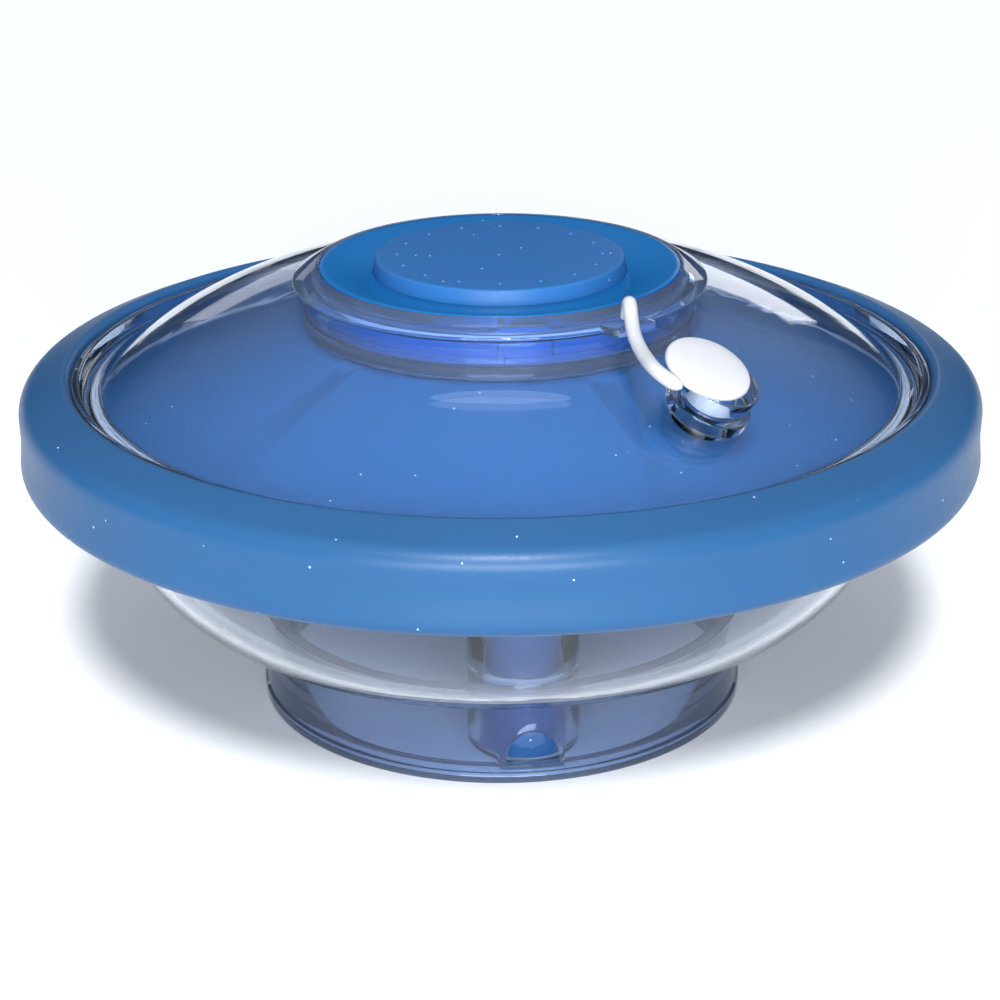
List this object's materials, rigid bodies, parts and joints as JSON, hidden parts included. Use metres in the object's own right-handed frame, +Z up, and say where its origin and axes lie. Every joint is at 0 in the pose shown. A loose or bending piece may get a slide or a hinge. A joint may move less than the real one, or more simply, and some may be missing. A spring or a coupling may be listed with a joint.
{
  "type": "floating chlorine dispenser",
  "caption": "Round floating tablet dispenser with a float ring, clear dome and bowl, bayonet cap, plugged fill spout and dosing valve.",
  "frame": {"origin": "centre of the base, on the surface that the foot stands on", "axes": "+Z up along the float ring's axis; -Y is the front, where the foot's arch and the fill spout are"},
  "size_m": [0.223, 0.223, 0.1091],
  "materials": {
    "clear_shell": "clear moulded polycarbonate",
    "blue_satin": "satin moulded polypropylene",
    "blue_gloss": "gloss moulded polypropylene",
    "white_vinyl": "soft moulded vinyl",
    "seal": "moulded silicone",
    "steel": "stainless steel"
  },
  "bodies": {
    "float": {"foot_skirt": "clear_shell", "bowl": "clear_shell", "bowl_gasket": "seal", "ring_base": "blue_satin", "ring_shell": "blue_satin", "deck": "blue_satin", "rim_gasket": "seal", "dome": "clear_shell", "neck_seat": "clear_shell", "neck": "clear_shell", "tablet_well": "blue_satin", "well_grate": "blue_satin", "well_screws": "steel", "outlet_manifold": "blue_satin", "outlet_tube": "blue_satin", "outlet_sleeve": "clear_shell", "valve_washer": "seal", "spout": "clear_shell", "tether_strap": "white_vinyl"},
    "cap_carrier": {"cap_seal": "seal"},
    "cap": {"cap_base": "blue_gloss", "cap_disc": "blue_satin"},
    "plug_body": {"plug": "white_vinyl"},
    "valve": {"dosing_valve": "blue_satin"}
  },
  "joints": [
    {"name": "cap_lift", "type": "slide", "parent": "float", "child": "cap_carrier", "axis": [0, 0, 1], "range_m": [0, 0.045]},
    {"name": "cap_turn", "type": "hinge", "parent": "cap_carrier", "child": "cap", "pos_m": [0, 0, 0.1], "axis": [0, 0, -1], "range_deg": [0, 32]},
    {"name": "plug_pull", "type": "slide", "parent": "float", "child": "plug_body", "axis": [0.3374, -0.3038, 0.891], "range_m": [0, 0.014]},
    {"name": "valve_turn", "type": "hinge", "parent": "float", "child": "valve", "pos_m": [0.00487, -0.0397, 0.01], "axis": [0, 0, 1], "range_deg": [0, 90]}
  ]
}
